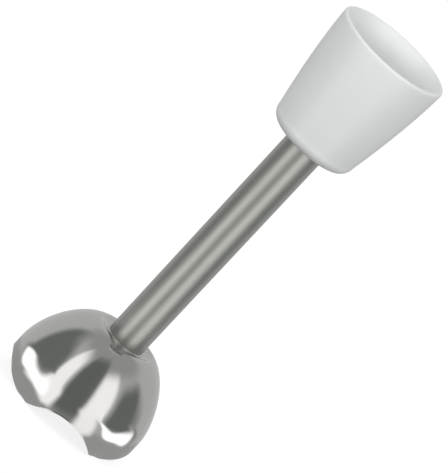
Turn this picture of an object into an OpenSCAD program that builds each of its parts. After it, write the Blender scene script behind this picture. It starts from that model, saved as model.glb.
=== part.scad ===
// Detachable blending shaft of a hand blender: a tapered steel tube with a
// moulded coupling collar at the top and a four-lobed drawn bell at the foot.
// Millimetres, +Z up. The part stands on the feet of its four lobes at z = 0,
// and the tube's axis is the Z axis. The lobes lie on the diagonals of X and Y.

/* [Overall] */
// Height from the lobes' feet to the collar's rim
total_h = 209.5; // [200:0.5:230]
// Height of the moulded collar
collar_h = 54; // [50:0.5:58]
// Running clearance on the radius between the shaft and its bushes
running_gap = 0.05; // [0.03:0.01:0.08]

/* [Bell] */
// Height of the seat that the tube stands on
bell_seat_z = 40.8; // [39:0.1:42]
// Height of the crown that rises round the tube
bell_crown_z = 42.6; // [41.8:0.1:43.5]
// Radius at which the crown is highest
bell_crown_r = 14; // [12.5:0.1:16]
// Largest radius of a lobe
lobe_r = 31.8; // [30:0.1:34]
// Height at which a lobe is widest
lobe_z = 18.5; // [16:0.5:20]
// Radius of a lobe's foot, where its wall has turned in
foot_r = 26.6; // [25:0.1:28]
// Radius of the straight wall in the hollow between two lobes
hollow_r = 32.9; // [31:0.1:34]
// Height at which the wall of a hollow becomes straight
hollow_z = 14.3; // [13:0.1:16]
// Height of the arched edge in the middle of a hollow
arch_z = 8.8; // [7:0.1:10]
// Thickness of the bell's drawn sheet
bell_wall = 0.9; // [0.7:0.1:1.2]

/* [Tube] */
// Outer radius of the tube at the bell
tube_foot_r = 8.7; // [8.5:0.05:8.9]
// Outer radius of the tube at the collar
tube_head_r = 9.1; // [9:0.05:9.3]
// Thickness of the tube's wall
tube_wall = 0.8; // [0.6:0.05:0.9]
// Radius of the weld bead round the tube's foot
bead_r = 0.8; // [0.6:0.05:1]

/* [Collar] */
// Outer radius of the collar at its rim
collar_rim_r = 26.4; // [26:0.1:28]
// Outer radius of the collar above its rounded base
collar_base_r = 20.3; // [20:0.1:21.5]
// Radius of the rounding under the collar
collar_round = 5.5; // [4.5:0.1:6]
// Radius of the bore that takes the nose of the motor housing
socket_r = 22.6; // [22:0.1:22.8]
// Radius of the collar's open mouth, at the top of its lead-in
mouth_r = 24.4; // [23.5:0.1:24.8]
// Number of bayonet lugs in the socket
lugs = 3; // [2:1:4]

/* [Drive] */
// Radius of the drive shaft
shaft_r = 2.5; // [2:0.1:2.8]
// Radius of the drive coupling's head
coupling_r = 7.5; // [7:0.1:8]
// Number of teeth in the coupling's star socket
star_teeth = 6; // [4:1:8]
// Depth of the coupling's star socket
star_depth = 6; // [5:0.5:7]

/* [Blade] */
// Radius swept by the blade's tips
blade_r = 22; // [19:0.5:23.5]
// Width of a blade wing at its root
wing_w = 8; // [6:0.5:9]
// Thickness of the blade's sheet
blade_t = 1.2; // [1:0.1:1.6]
// Angle of the raised pair of wings, in degrees
wing_up = 22; // [10:1:26]
// Angle of the lowered pair of wings, in degrees
wing_down = 14; // [8:1:16]

/* [Hidden] */
$fn = 72;
ring_fn = 32;
eps = 0.01;
over = 1;
round_steps = 8;
edge_steps = 4;

// Bell
bell_hole_r = tube_foot_r - tube_wall + 0.1;
bell_seat_r = tube_foot_r + bead_r + 0.1;
dome_power = 2 / 1.56;
foot_power = 2 / 2.3;
lobe_power_r = 3.1;
lobe_power_z = 1.25;
foot_length = 1.05;
seat_share = 0.04;
crown_share = 0.18;
dome_share = 0.68;
bell_rings = 25;
bell_columns = 96;
slope_step = 0.004;

// Collar
collar_z = total_h - collar_h;
collar_floor_z = collar_z + 4.5;
barrel_z = collar_z + collar_round;
barrel_power = 1.5;
barrel_steps = 16;
rim_round = 1;
rim_lean = 15;
mouth_chamfer = 0.4;
lead_in_z = total_h - 6.5;
socket_floor_z = total_h - 17.5;
lug_groove_r = socket_r - 0.6;
ledge_z = socket_floor_z - 6;
ledge_r = lug_groove_r - 1.6;
cup_r = collar_base_r - 2.3;
cup_round = 2;
lug_z = ledge_z + 2.5;
lug_h = 3;
lug_angle = 26;
lug_root = 0.6;
tube_bore_r = tube_head_r + 0.02;
tube_straight = 3;
tube_run_out = 2;
o_ring_z = collar_z + 2;
o_ring_wire_r = 0.95;
o_ring_groove_h = 2;

// Tube flange, tower and screws
flange_t = 1;
flange_r = cup_r - cup_round - 0.1;
flange_top_z = collar_floor_z + flange_t;
screws = 3;
screw_angle = 30;
screw_r = 1.4;
screw_head_r = 2.6;
screw_head_h = 1.8;
screw_head_round = 0.8;
screw_slot_l = 3.2;
screw_slot_w = 0.6;
screw_slot_depth = 1;
screw_reach = 3.4;
screw_tip_gap = 0.3;
screw_gap = 0.2;
screw_head_gap = 0.3;
tower_base_h = 3;
tower_r = tube_head_r + 1.3;
tower_foot_r = tower_r + 1.6;
screw_pitch_r = (tower_r + flange_r) / 2;
tower_top_z = total_h - 33.5;
tower_spigot_z = collar_z - 1.5;
tower_spigot_r = tube_head_r - tube_wall - 0.1;
tower_slope_h = 2.5;
tower_draft = 0.6;
tower_chamfer = 1;
tower_ribs = 6;
rib_t = 1.4;
rib_root = 2;
rib_sink = 1;
rib_foot_gap = 0.6;
rib_top_drop = 4;

// Bushes and the liner between the two bearings
bush_r = shaft_r + 2;
bush_flange_r = tube_foot_r - 2.8;
bush_flange_t = 1;
bush_h = 10;
bush_chamfer = 0.4;
bush_bore_r = shaft_r + running_gap;
liner_r = tube_foot_r - 2.2;
liner_wall = 1;
liner_seat_h = 4;
liner_head_z = tower_spigot_z + liner_seat_h;
clip_r = shaft_r + 1.9;
clip_room_r = clip_r + 0.8;
clip_band_r = shaft_r + 1.1;
clip_band_shift = 0.4;
clip_ear_r = 1.1;
clip_ear_angle = 32;
clip_ear_hole_r = 0.55;
clip_mouth_angle = 15;

// Bearing housing in the bell
seal_r = shaft_r + 3.5;
seal_h = 3.4;
seal_chamfer = 0.3;
seal_land = 0.4;
seal_room_r = 1;
seal_room_h = 0.6;
seal_back_r = 1.6;
seal_back_h = 0.5;
housing_foot_z = 22.4;
housing_foot_r = seal_r + 1.6;
housing_flange_z = bell_seat_z - bell_wall;
housing_flange_r = housing_foot_r + 3.9;
housing_flange_h = 2.4;
housing_neck_r = bell_hole_r - 0.1;
housing_lip = 0.4;
housing_crown_inset = 0.2;
housing_nose_chamfer = 0.8;
housing_top_z = bell_seat_z + 12;
housing_spigot_r = tube_foot_r - tube_wall - 0.1;
housing_groove_z = bell_seat_z + 5.5;
groove_depth = 1.1;
groove_half = 1;
housing_ring_r = 0.59;
spigot_round = 1;
housing_bore_gap = 1;
housing_taper = 0.9;
housing_rim = 2;
cap_t = 0.6;
cap_r = housing_foot_r - 0.3;
cap_gap = 0.6;
lower_bush_z = housing_foot_z + seal_h + 1.2;

// Rotor
washer_t = 0.6;
washer_r = shaft_r + 2.3;
axial_gap = 0.1;
thrust_top_z = tower_top_z + bush_flange_t + axial_gap;
coupling_z = thrust_top_z + washer_t;
coupling_neck_r = shaft_r + 3;
coupling_neck_h = 5.2;
coupling_h = 13.6;
coupling_chamfer = 0.4;
coupling_under_round = 0.8;
coupling_top_round = 1.2;
star_r = 3.2;
star_notch_r = 1.15;
star_notch_out = 0.4;
star_lead_w = 1.4;
star_lead_h = 1;
flutes = 6;
flute_r = 1;
flute_out = 0.5;
flute_lift = 2;
shaft_chamfer = 0.5;
pin_r = 0.75;
pin_z = coupling_z + 3;
pin_inset = 0.3;
clip_z = tower_top_z - bush_h + bush_flange_t - 1.4;
clip_t = 0.7;
clip_groove_depth = 0.35;
lower_washer_top_z = housing_foot_z - cap_t - axial_gap;
hub_top_z = lower_washer_top_z - washer_t;
blade_z = 13.4;
hub_r = shaft_r + 2.1;
hub_waist_r = shaft_r + 1.3;
hub_foot_h = 1.2;
hub_slope_h = 0.8;
hub_rim_h = 0.4;
nut_h = 3.2;
nut_r = shaft_r + 1.9;
nut_chamfer_w = 0.9;
nut_chamfer_h = 0.7;
shaft_stub = 1.2;
blade_centre_r = shaft_r + 4.2;
wing_overlap = 1.1;
wing_heel = 0.6;
wing_lead_share = 0.45;
wing_trail_share = 0.4;
wing_tip_round = 2.2;
wing_tip_aside = 0.44;
wing_tip_from = -70;
wing_tip_to = 60;
bevel_start = 2.2;
bevel_w = 2;
bevel_reach = 8;
bevel_angle = 24;

steel = "#a9aaa6";
bright_steel = "#c4c6c6";
white_plastic = "#dcdedd";
dark_plastic = "#3a3c3e";
bronze = "#a9824f";
black_rubber = "#232323";

// Points of an arc in the r, z plane, its angles in degrees from +r
function arc(centre, radius, from, to, steps) =
    [for (i = [0 : steps]) centre + radius * [cos(from + (to - from) * i / steps),
                                              sin(from + (to - from) * i / steps)]];

// 0 in the middle of a hollow and 1 along a lobe's crest
function lobe_share(angle) = (1 - cos(4 * angle)) / 2;

// Bell's outer surface as [r, z]. The station runs from 0 at the hole in the
// crown to 1 at the edge. Down to the widest place the dome is nearly round;
// below it the lobes turn in to their feet and the hollows stay open.
function bell_seat(k) = [bell_hole_r + (bell_seat_r - bell_hole_r) * k, bell_seat_z];
function bell_crown(k) = [bell_seat_r + (bell_crown_r - bell_seat_r) * k,
    bell_seat_z + (bell_crown_z - bell_seat_z) * (1 - cos(180 * k)) / 2];
function lobe_line(dome, low) = [
    bell_crown_r + (lobe_r - bell_crown_r) * pow(sin(dome), dome_power)
        - (lobe_r - foot_r) * (1 - pow(cos(low), foot_power)),
    lobe_z + (bell_crown_z - lobe_z) * pow(cos(dome), dome_power)
        - lobe_z * pow(sin(low), foot_power)];
function hollow_line(dome, low) = [
    bell_crown_r + (hollow_r - bell_crown_r) * pow(sin(dome), dome_power),
    hollow_z + (bell_crown_z - hollow_z) * pow(cos(dome), dome_power)
        - (hollow_z - arch_z) * low / 90];
function bell_wall_line(dome, low, lobe) =
    let (crest = lobe_line(dome, low), hollow = hollow_line(dome, low),
         share_r = pow(lobe, lobe_power_r),
         share_z = min(1, foot_length * pow(lobe, lobe_power_z)))
    [hollow.x + (crest.x - hollow.x) * share_r, hollow.y + (crest.y - hollow.y) * share_z];
function bell_line(station, lobe) =
    station <= seat_share ? bell_seat(station / seat_share)
    : station <= crown_share ? bell_crown((station - seat_share) / (crown_share - seat_share))
    : station <= dome_share
        ? bell_wall_line(90 * (station - crown_share) / (dome_share - crown_share), 0, lobe)
    : bell_wall_line(90, 90 * (station - dome_share) / (1 - dome_share), lobe);

// The inner surface lies one sheet thickness inside, square to the outer one
function bell_slope(station, lobe) =
    bell_line(min(1, station + slope_step), lobe) - bell_line(max(0, station - slope_step), lobe);
function bell_inner(station, lobe) =
    let (point = bell_line(station, lobe), slope = bell_slope(station, lobe))
    station == 0 || station == seat_share ? point - [0, bell_wall]
    : station == 1 ? point - [bell_wall, 0]
    : point + bell_wall * [slope.y, -slope.x] / norm(slope);

function bell_station(ring) =
    ring == 0 ? 0
    : ring == 1 ? seat_share
    : seat_share + (1 - seat_share) * (ring - 1) / (bell_rings - 2);
function turned(point, angle) = [point.x * cos(angle), point.x * sin(angle), point.y];

module bell() {
    outer = [for (ring = [0 : bell_rings - 1]) for (column = [0 : bell_columns - 1])
        let (angle = 360 * column / bell_columns)
        turned(bell_line(bell_station(ring), lobe_share(angle)), angle)];
    inner = [for (ring = [bell_rings - 1 : -1 : 0]) for (column = [0 : bell_columns - 1])
        let (angle = 360 * column / bell_columns)
        turned(bell_inner(bell_station(ring), lobe_share(angle)), angle)];
    loops = 2 * bell_rings;
    faces = [for (loop = [0 : loops - 1]) for (column = [0 : bell_columns - 1])
        let (next = (loop + 1) % loops, beside = (column + 1) % bell_columns,
             a = loop * bell_columns + column, b = loop * bell_columns + beside,
             c = next * bell_columns + beside, d = next * bell_columns + column)
        each [[a, b, c], [a, c, d]]];
    color(bright_steel) polyhedron(concat(outer, inner), faces, convexity = 6);
}

module weld_bead() {
    color(bright_steel) translate([0, 0, bell_seat_z]) rotate_extrude()
        polygon(concat([[tube_foot_r, 0]], arc([tube_foot_r, 0], bead_r, 0, 90, round_steps)));
}

// The foot is straight for a short way, above it the tube widens to the collar
module outer_tube() {
    straight_z = bell_seat_z + tube_straight;
    head_z = collar_z - tube_run_out;
    color(steel) rotate_extrude() polygon([
        [tube_foot_r - tube_wall, bell_seat_z], [tube_foot_r, bell_seat_z],
        [tube_foot_r, straight_z], [tube_head_r, head_z],
        [tube_head_r, flange_top_z], [tube_head_r - tube_wall, flange_top_z],
        [tube_head_r - tube_wall, head_z], [tube_foot_r - tube_wall, straight_z]]);
}

// Outer radius of the collar's barrel at a height
function barrel_radius(z) =
    collar_base_r + (collar_rim_r - collar_base_r)
        * (1 - pow(1 - (z - barrel_z) / (total_h - barrel_z), barrel_power));

module collar() {
    rim_z = total_h - rim_round;
    outside = concat([[tube_bore_r, collar_z]],
        arc([collar_base_r - collar_round, barrel_z], collar_round, -90, 0, round_steps),
        [for (i = [1 : barrel_steps]) let (z = barrel_z + (rim_z - barrel_z) * i / barrel_steps)
            [barrel_radius(z), z]],
        arc([barrel_radius(rim_z) - rim_round, rim_z], rim_round, rim_lean, 90, edge_steps));
    inside = concat([[mouth_r + mouth_chamfer, total_h], [mouth_r, total_h - mouth_chamfer],
            [socket_r, lead_in_z], [socket_r, socket_floor_z],
            [lug_groove_r, socket_floor_z], [lug_groove_r, ledge_z], [ledge_r, ledge_z]],
        arc([cup_r - cup_round, collar_floor_z + cup_round], cup_round, 0, -90, edge_steps),
        [[tube_bore_r, collar_floor_z]]);
    color(white_plastic) difference() {
        union() {
            rotate_extrude() polygon(concat(outside, inside));
            for (i = [0 : lugs - 1])
                rotate([0, 0, 360 * i / lugs - lug_angle / 2]) rotate_extrude(angle = lug_angle)
                    translate([ledge_r, lug_z])
                    square([lug_groove_r - ledge_r + lug_root, lug_h]);
        }
        translate([0, 0, o_ring_z]) rotate_extrude()
            translate([tube_bore_r - eps, -o_ring_groove_h / 2])
            square([2 * o_ring_wire_r, o_ring_groove_h]);
        at_screws() translate([0, 0, collar_floor_z - screw_reach - screw_tip_gap])
            cylinder(r = screw_r, h = screw_reach + screw_tip_gap + over);
    }
}

module at_screws() {
    for (i = [0 : screws - 1]) rotate([0, 0, screw_angle + 360 * i / screws])
        translate([screw_pitch_r, 0, 0]) children();
}

module collar_o_ring() {
    color(black_rubber) translate([0, 0, o_ring_z]) rotate_extrude()
        translate([tube_bore_r - eps + o_ring_wire_r, 0]) circle(r = o_ring_wire_r, $fn = ring_fn);
}

// Pressed washer welded to the tube's head and clamped under the tower
module tube_flange() {
    color(steel) difference() {
        translate([0, 0, collar_floor_z]) cylinder(r = flange_r, h = flange_t);
        translate([0, 0, collar_floor_z - over])
            cylinder(r = tube_head_r, h = flange_t + 2 * over);
        at_screws() translate([0, 0, collar_floor_z - over])
            cylinder(r = screw_r + screw_gap, h = flange_t + 2 * over);
    }
}

// Its spigot stands in the tube and its base, clamped by the screws, holds the flange
module coupling_tower() {
    base_top_z = flange_top_z + tower_base_h;
    bush_low_z = tower_top_z - bush_h + bush_flange_t;
    color(white_plastic) difference() {
        union() {
            translate([0, 0, flange_top_z]) cylinder(r = flange_r, h = tower_base_h);
            translate([0, 0, tower_spigot_z])
                cylinder(r = tower_spigot_r, h = flange_top_z - tower_spigot_z + eps);
            rotate_extrude() polygon([[0, flange_top_z], [tower_foot_r, flange_top_z],
                [tower_foot_r, base_top_z], [tower_r, base_top_z + tower_slope_h],
                [tower_r - tower_draft, tower_top_z - tower_chamfer],
                [tower_r - tower_draft - tower_chamfer, tower_top_z], [0, tower_top_z]]);
            for (i = [0 : tower_ribs - 1]) rotate([90, 0, 360 * i / tower_ribs])
                translate([0, 0, -rib_t / 2]) linear_extrude(rib_t) polygon([
                    [tower_r - rib_root, flange_top_z + rib_sink],
                    [flange_r - rib_foot_gap, base_top_z - eps],
                    [tower_r - rib_root, tower_top_z - rib_top_drop]]);
        }
        translate([0, 0, bush_low_z]) cylinder(r = bush_r, h = bush_h + over);
        translate([0, 0, liner_head_z - eps])
            cylinder(r = clip_room_r, h = bush_low_z - liner_head_z + 2 * eps);
        translate([0, 0, tower_spigot_z - over]) cylinder(r = liner_r, h = liner_seat_h + over);
        at_screws() {
            translate([0, 0, flange_top_z - over])
                cylinder(r = screw_r + screw_gap, h = tower_base_h + 2 * over);
            translate([0, 0, base_top_z]) cylinder(r = screw_head_r + screw_head_gap, h = total_h);
        }
    }
}

// Three identical screws hold the tower and the flange down on the collar's floor
module tower_screws() {
    head_z = flange_top_z + tower_base_h;
    head_top_z = head_z + screw_head_h;
    color(steel) at_screws() difference() {
        union() {
            translate([0, 0, collar_floor_z - screw_reach])
                cylinder(r = screw_r, h = head_z - collar_floor_z + screw_reach + eps);
            rotate_extrude() polygon(concat([[0, head_z], [screw_head_r, head_z]],
                arc([screw_head_r - screw_head_round, head_top_z - screw_head_round],
                    screw_head_round, 0, 90, edge_steps), [[0, head_top_z]]));
        }
        for (turn = [0, 90]) rotate([0, 0, turn])
            translate([-screw_slot_l / 2, -screw_slot_w / 2, head_top_z - screw_slot_depth])
            cube([screw_slot_l, screw_slot_w, screw_slot_depth + over]);
    }
}

// Plain pipe that keeps water and grease off the shaft between its two bearings
module liner_tube() {
    liner_h = liner_head_z - housing_top_z;
    color(white_plastic) difference() {
        translate([0, 0, housing_top_z]) cylinder(r = liner_r, h = liner_h);
        translate([0, 0, housing_top_z - over])
            cylinder(r = liner_r - liner_wall, h = liner_h + 2 * over);
    }
}

// Flanged sintered bush, its flange at the top
module bush(top_z) {
    color(bronze) difference() {
        rotate_extrude() polygon([[0, top_z - bush_h], [bush_r - bush_chamfer, top_z - bush_h],
            [bush_r, top_z - bush_h + bush_chamfer], [bush_r, top_z - bush_flange_t],
            [bush_flange_r, top_z - bush_flange_t], [bush_flange_r, top_z], [0, top_z]]);
        translate([0, 0, top_z - bush_h - over]) cylinder(r = bush_bore_r, h = bush_h + 2 * over);
    }
}

module upper_bush() bush(tower_top_z + bush_flange_t);

module lower_bush() bush(lower_bush_z + bush_h);

// Moulded carrier that fills the bell's hole: its spigot stands in the tube,
// its flange closes the crown from inside and its nose holds the seal
module bearing_housing() {
    flange_low_z = housing_flange_z - housing_flange_h;
    waist_r = housing_foot_r + housing_taper;
    sweep = housing_flange_r - waist_r - housing_lip;
    color(dark_plastic) difference() {
        rotate_extrude() polygon(concat(
            [[0, housing_foot_z], [housing_foot_r - housing_nose_chamfer, housing_foot_z],
             [housing_foot_r, housing_foot_z + housing_nose_chamfer],
             [waist_r, flange_low_z - sweep]],
            arc([waist_r + sweep, flange_low_z - sweep], sweep, 180, 90, round_steps),
            [[housing_flange_r, flange_low_z + housing_rim / 2],
             [housing_flange_r, flange_low_z + housing_rim],
             [bell_seat_r - housing_crown_inset, housing_flange_z],
             [housing_neck_r, housing_flange_z],
             [housing_neck_r, bell_seat_z], [housing_spigot_r, bell_seat_z],
             [housing_spigot_r, housing_groove_z - groove_half],
             [housing_spigot_r - groove_depth, housing_groove_z - groove_half],
             [housing_spigot_r - groove_depth, housing_groove_z + groove_half],
             [housing_spigot_r, housing_groove_z + groove_half],
             [housing_spigot_r, housing_top_z - spigot_round],
             [housing_spigot_r - spigot_round, housing_top_z], [0, housing_top_z]]));
        translate([0, 0, housing_foot_z - over]) cylinder(r = seal_r, h = seal_h + over);
        translate([0, 0, housing_foot_z])
            cylinder(r = shaft_r + housing_bore_gap, h = lower_bush_z - housing_foot_z + eps);
        translate([0, 0, lower_bush_z]) cylinder(r = bush_r, h = bush_h);
        translate([0, 0, lower_bush_z + bush_h - bush_flange_t])
            cylinder(r = bush_flange_r, h = housing_top_z);
    }
}

module housing_o_ring() {
    color(black_rubber) translate([0, 0, housing_groove_z]) rotate_extrude()
        translate([housing_spigot_r - groove_depth + eps + housing_ring_r, 0])
        circle(r = housing_ring_r, $fn = ring_fn);
}

// Rubber ring with two soft lips, bored to the shaft with running clearance
module shaft_seal() {
    inner_lip = seal_h - seal_back_h;
    color(black_rubber) translate([0, 0, housing_foot_z]) rotate_extrude() polygon([
        [bush_bore_r, seal_chamfer], [bush_bore_r + seal_chamfer, 0], [seal_r, 0],
        [seal_r, seal_h], [bush_bore_r + seal_back_r, seal_h], [bush_bore_r, inner_lip],
        [bush_bore_r, inner_lip - seal_land],
        [bush_bore_r + seal_room_r, (seal_h + seal_room_h) / 2],
        [bush_bore_r + seal_room_r, (seal_h - seal_room_h) / 2],
        [bush_bore_r, seal_chamfer + seal_land]]);
}

// Thin ring pressed over the seal
module seal_cap() {
    color(bright_steel) difference() {
        translate([0, 0, housing_foot_z - cap_t]) cylinder(r = cap_r, h = cap_t);
        translate([0, 0, housing_foot_z - cap_t - over])
            cylinder(r = shaft_r + cap_gap, h = cap_t + 2 * over);
    }
}

module drive_shaft() {
    top_z = coupling_z + coupling_h - star_depth;
    foot_z = blade_z - nut_h - shaft_stub;
    color(steel) difference() {
        rotate_extrude() polygon([
            [0, foot_z], [shaft_r - shaft_chamfer, foot_z], [shaft_r, foot_z + shaft_chamfer],
            [shaft_r, clip_z], [shaft_r - clip_groove_depth, clip_z],
            [shaft_r - clip_groove_depth, clip_z + clip_t], [shaft_r, clip_z + clip_t],
            [shaft_r, top_z - shaft_chamfer], [shaft_r - shaft_chamfer, top_z], [0, top_z]]);
        pin_hole();
    }
}

module pin_hole() {
    translate([0, 0, pin_z]) rotate([90, 0, 0])
        cylinder(r = pin_r, h = 2 * (coupling_r + over), center = true);
}

// Moulded female half of the coupling: a star socket in the head, a keyed neck
module drive_coupling() {
    head_z = coupling_z + coupling_neck_h;
    top_z = coupling_z + coupling_h;
    color(dark_plastic) difference() {
        rotate_extrude() polygon(concat(
            [[0, coupling_z], [coupling_neck_r - coupling_chamfer, coupling_z],
             [coupling_neck_r, coupling_z + coupling_chamfer],
             [coupling_neck_r, head_z - coupling_under_round],
             [coupling_r - coupling_under_round, head_z]],
            arc([coupling_r - coupling_under_round, head_z + coupling_under_round],
                coupling_under_round, -90, 0, edge_steps),
            arc([coupling_r - coupling_top_round, top_z - coupling_top_round],
                coupling_top_round, 0, 90, edge_steps),
            [[0, top_z]]));
        translate([0, 0, coupling_z - over]) cylinder(r = shaft_r, h = coupling_h);
        translate([0, 0, top_z - star_depth]) star_socket();
        translate([0, 0, top_z - star_lead_h])
            cylinder(r1 = star_r, r2 = star_r + star_lead_w, h = star_lead_h + eps);
        pin_hole();
        for (i = [0 : flutes - 1]) rotate([0, 0, 360 * (i + 0.5) / flutes])
            translate([coupling_r + flute_out, 0, head_z + flute_lift])
            cylinder(r = flute_r, h = coupling_h);
    }
}

module star_socket() {
    cylinder(r = star_r, h = star_depth + over);
    for (i = [0 : star_teeth - 1]) rotate([0, 0, 360 * i / star_teeth])
        translate([star_r + star_notch_out, 0, 0])
        cylinder(r = star_notch_r, h = star_depth + over);
}

module coupling_pin() {
    color(steel) translate([0, 0, pin_z]) rotate([90, 0, 0])
        cylinder(r = pin_r, h = 2 * (coupling_neck_r - pin_inset), center = true);
}

module washer(low_z) {
    color(white_plastic) difference() {
        translate([0, 0, low_z]) cylinder(r = washer_r, h = washer_t);
        translate([0, 0, low_z - over]) cylinder(r = shaft_r, h = washer_t + 2 * over);
    }
}

module upper_thrust_washer() washer(thrust_top_z);

module lower_thrust_washer() washer(hub_top_z);

// Spring clip seated in the shaft's groove: thickest opposite its mouth, with an
// eared hole on either side of the mouth for the pliers
module shaft_circlip() {
    mouth_half_w = 2 * clip_r * tan(clip_mouth_angle);
    color(steel) translate([0, 0, clip_z]) linear_extrude(clip_t) difference() {
        union() {
            translate([-clip_band_shift, 0]) circle(r = clip_band_r);
            at_clip_ears() circle(r = clip_ear_r);
        }
        circle(r = shaft_r - clip_groove_depth);
        polygon([[0, 0], [2 * clip_r, -mouth_half_w], [2 * clip_r, mouth_half_w]]);
        at_clip_ears() circle(r = clip_ear_hole_r);
    }
}

module at_clip_ears() {
    for (side = [-1, 1]) rotate(side * clip_ear_angle) translate([clip_r - clip_ear_r, 0])
        children();
}

// Waisted spacer that holds the blade down at its height
module blade_hub() {
    low_z = blade_z + blade_t;
    color(bright_steel) difference() {
        rotate_extrude() polygon([[0, low_z], [hub_r, low_z], [hub_r, low_z + hub_foot_h],
            [hub_waist_r, low_z + hub_foot_h + hub_slope_h],
            [hub_waist_r, hub_top_z - hub_rim_h - hub_slope_h], [hub_r, hub_top_z - hub_rim_h],
            [hub_r, hub_top_z], [0, hub_top_z]]);
        translate([0, 0, blade_z]) cylinder(r = shaft_r, h = hub_top_z);
    }
}

// One stamped cross: two wings bent up, two bent down, each ground to an edge
module blade() {
    color(bright_steel) difference() {
        union() {
            translate([0, 0, blade_z]) cylinder(r = blade_centre_r, h = blade_t);
            for (i = [0 : 3]) rotate([0, 0, 90 * i]) wing(i % 2 == 0 ? wing_up : -wing_down);
        }
        translate([0, 0, blade_z - over]) cylinder(r = shaft_r, h = blade_t + 2 * over);
    }
}

module wing(bend) {
    root = blade_centre_r - wing_overlap;
    reach = (blade_r - root) / cos(bend);
    side = wing_w / 2;
    translate([root, 0, blade_z]) rotate([0, -bend, 0]) difference() {
        linear_extrude(blade_t) polygon(concat(
            [[-wing_heel, -side], [reach * wing_lead_share, -side]],
            arc([reach - wing_tip_round, -wing_tip_aside], wing_tip_round,
                wing_tip_from, wing_tip_to, round_steps),
            [[reach * wing_trail_share, side], [-wing_heel, side]]));
        translate([bevel_start, bevel_w - side, blade_t]) rotate([bevel_angle, 0, 0])
            translate([0, -bevel_reach, 0]) cube([reach, bevel_reach, 2 * blade_t]);
    }
}

module blade_nut() {
    low_z = blade_z - nut_h;
    color(bright_steel) difference() {
        intersection() {
            translate([0, 0, low_z]) cylinder(r = nut_r, h = nut_h, $fn = 6);
            rotate_extrude() polygon([[0, low_z], [nut_r - nut_chamfer_w, low_z],
                [nut_r, low_z + nut_chamfer_h], [nut_r, blade_z], [0, blade_z]]);
        }
        translate([0, 0, low_z - over]) cylinder(r = shaft_r, h = nut_h + 2 * over);
    }
}

bell();
weld_bead();
outer_tube();
collar();
collar_o_ring();
tube_flange();
coupling_tower();
tower_screws();
liner_tube();
upper_bush();
bearing_housing();
lower_bush();
housing_o_ring();
shaft_seal();
seal_cap();
drive_shaft();
drive_coupling();
coupling_pin();
upper_thrust_washer();
shaft_circlip();
lower_thrust_washer();
blade_hub();
blade();
blade_nut();
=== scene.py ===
from math import cos, pi, radians, sin, tan

import bmesh
import bpy
from mathutils import Matrix, Vector


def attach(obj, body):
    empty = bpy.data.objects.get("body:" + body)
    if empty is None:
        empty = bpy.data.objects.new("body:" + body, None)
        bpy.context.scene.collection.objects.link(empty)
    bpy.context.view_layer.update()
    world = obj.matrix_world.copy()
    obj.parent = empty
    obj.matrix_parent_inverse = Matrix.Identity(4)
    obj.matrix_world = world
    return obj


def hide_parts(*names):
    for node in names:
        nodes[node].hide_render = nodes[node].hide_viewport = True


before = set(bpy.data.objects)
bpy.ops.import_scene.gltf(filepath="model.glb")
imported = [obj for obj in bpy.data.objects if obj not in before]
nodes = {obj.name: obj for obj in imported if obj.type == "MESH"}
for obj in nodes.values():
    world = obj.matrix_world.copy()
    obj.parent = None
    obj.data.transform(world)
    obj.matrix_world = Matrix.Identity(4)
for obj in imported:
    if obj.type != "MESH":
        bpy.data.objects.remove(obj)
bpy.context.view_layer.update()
view = bpy.context.scene.view_settings
view.view_transform = "Standard"

# Camera
# A long lens looks down on the shaft a little from the collar's side, rolled so
# that the tube runs from the lower left of the picture to the upper right.
MM = 0.001
CAMERA_AZIMUTH = radians(-10.5)
CAMERA_ELEVATION = radians(15.6)
CAMERA_DISTANCE = 5.0
TUBE_LEAN = radians(42.9)
PICTURE_PX = (448, 473)
PX_PER_MM = 2.439
SENSOR_MM = 36.0
AIM_HEIGHT = 102.6 * MM
AIM_ASIDE = 0.5 * MM

camera = bpy.data.objects.new("camera", bpy.data.cameras.new("camera"))
bpy.context.scene.collection.objects.link(camera)
bpy.context.scene.camera = camera
toward_camera = Vector((sin(CAMERA_AZIMUTH) * cos(CAMERA_ELEVATION),
                        -cos(CAMERA_AZIMUTH) * cos(CAMERA_ELEVATION), sin(CAMERA_ELEVATION)))
tube_up = (Vector((0, 0, 1)) - toward_camera * toward_camera.z).normalized()
tube_side = tube_up.cross(toward_camera)
picture_right = tube_up * sin(TUBE_LEAN) + tube_side * cos(TUBE_LEAN)
picture_up = tube_up * cos(TUBE_LEAN) - tube_side * sin(TUBE_LEAN)
aim = Vector((0, 0, AIM_HEIGHT)) + tube_side * AIM_ASIDE
turn = Matrix((picture_right, picture_up, toward_camera)).transposed()
camera.matrix_world = Matrix.Translation(aim + toward_camera * CAMERA_DISTANCE) @ turn.to_4x4()
camera.data.sensor_width = SENSOR_MM
camera.data.lens = SENSOR_MM * CAMERA_DISTANCE / (PICTURE_PX[1] / PX_PER_MM * MM)
camera.data.clip_start = 0.1
camera.data.clip_end = 50


# Floor
# A sheet of white paper that the shaft stands on. It is brightened to white for
# the camera, metal and glass, keeps the soft shadow, and is clear from below.
FLOOR_HALF = 4.0
PAPER_GREY = "8A8A89"
PAPER_GLOW = 0.83


def linear(hex_colour):
    channels = [int(hex_colour[i:i + 2], 16) / 255 for i in (0, 2, 4)]
    return [c / 12.92 if c <= 0.04045 else ((c + 0.055) / 1.055) ** 2.4 for c in channels] + [1]


def add(tree, kind, inputs=None, **settings):
    node = tree.nodes.new(kind)
    for name, value in settings.items():
        setattr(node, name, value)
    for name, value in (inputs or {}).items():
        if isinstance(value, bpy.types.NodeSocket):
            tree.links.new(value, node.inputs[name])
        else:
            node.inputs[name].default_value = value
    return node


def new_material(name):
    material = bpy.data.materials.new(name)
    material.use_nodes = True
    material.node_tree.nodes.clear()
    return material, material.node_tree


def finish_material(tree, shader):
    add(tree, "ShaderNodeOutputMaterial", {"Surface": shader})


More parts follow.
